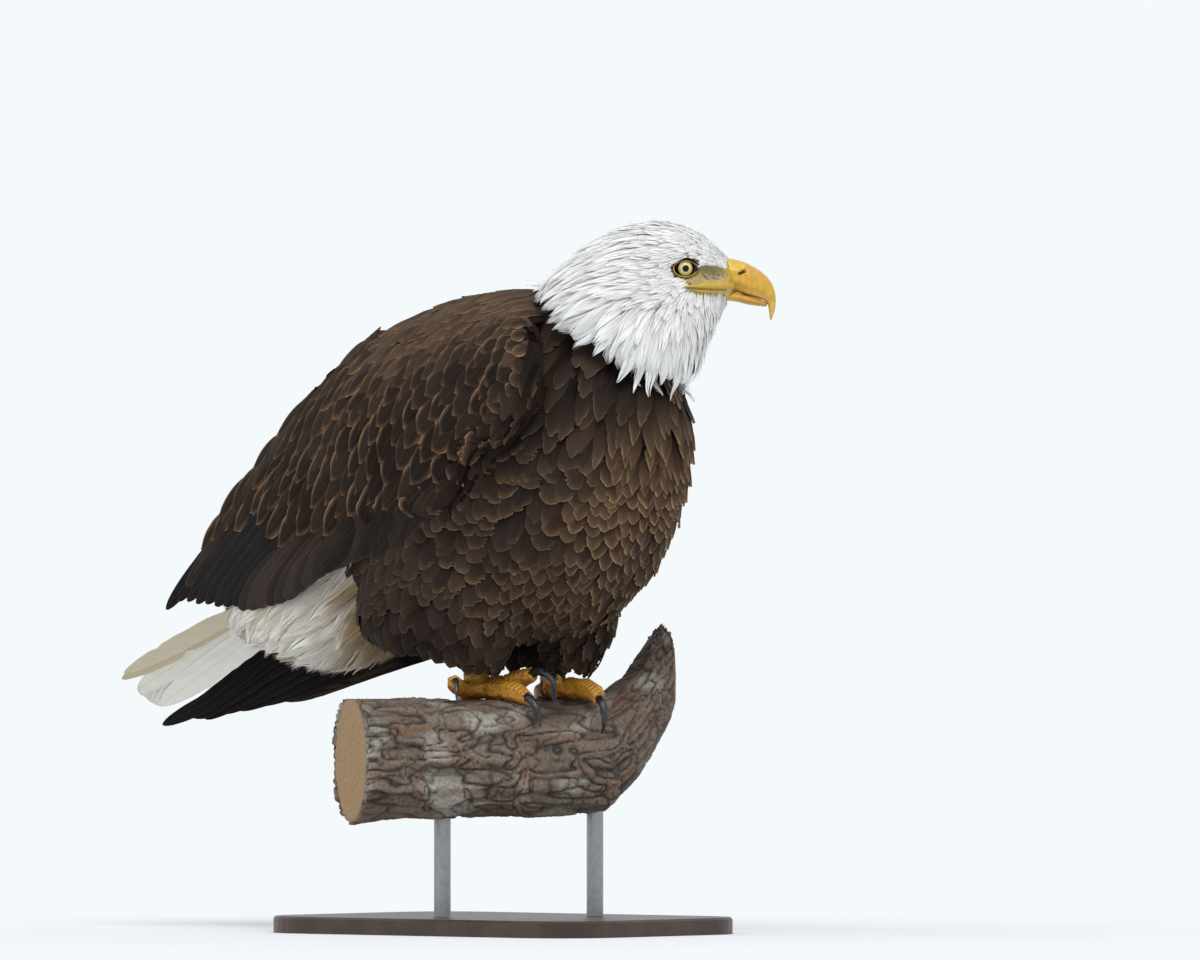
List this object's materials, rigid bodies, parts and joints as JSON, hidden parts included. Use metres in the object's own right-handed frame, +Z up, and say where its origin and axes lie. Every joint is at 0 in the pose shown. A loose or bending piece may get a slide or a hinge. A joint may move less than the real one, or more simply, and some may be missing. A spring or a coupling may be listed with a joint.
{
  "type": "life-size bald eagle model on a display perch",
  "caption": "Life-size adult bald eagle standing on a cut length of thick branch, head turned aside, wings folded, tail held low, on a flat base with rods up to the branch.",
  "frame": {"origin": "middle of the base's underside", "axes": "+Z up; the bird's body faces +X, its left side is towards +Y, and its head is turned 40 degrees towards +Y"},
  "size_m": [0.7351, 0.3462, 0.675],
  "materials": {
    "white_plumage": "soft white feathers",
    "brown_plumage": "dark brown feathers with paler edges",
    "dark_quill": "stiff blackish flight feathers, slight sheen",
    "tail_white": "off-white feathers with buff stains",
    "bill_yellow": "smooth horn, satin",
    "eye": "pale yellow iris, black pupil, glossy",
    "foot_yellow": "scaled skin, satin",
    "claw_black": "smooth black horn, satin",
    "bark": "rough cracked bark",
    "stand_wood": "dark stained wood, satin",
    "stand_steel": "brushed"
  },
  "bodies": {
    "root": {"head": "white_plumage", "neck": "white_plumage", "bill_upper": "bill_yellow", "bill_lower": "bill_yellow", "eye_right": "eye", "eye_left": "eye", "trunk": "brown_plumage", "tail_coverts": "tail_white", "tail": "tail_white", "wing_right_coverts": "brown_plumage", "wing_right_secondaries": "dark_quill", "wing_right_primaries": "dark_quill", "thigh_right": "brown_plumage", "foot_right": "foot_yellow", "claw_right_hallux": "claw_black", "claw_right_inner": "claw_black", "claw_right_middle": "claw_black", "claw_right_outer": "claw_black", "wing_left_coverts": "brown_plumage", "wing_left_secondaries": "dark_quill", "wing_left_primaries": "dark_quill", "thigh_left": "brown_plumage", "foot_left": "foot_yellow", "claw_left_hallux": "claw_black", "claw_left_inner": "claw_black", "claw_left_middle": "claw_black", "claw_left_outer": "claw_black", "perch": "bark", "stand_rod_right": "stand_steel", "stand_rod_left": "stand_steel", "stand_base": "stand_wood"}
  },
  "joints": []
}
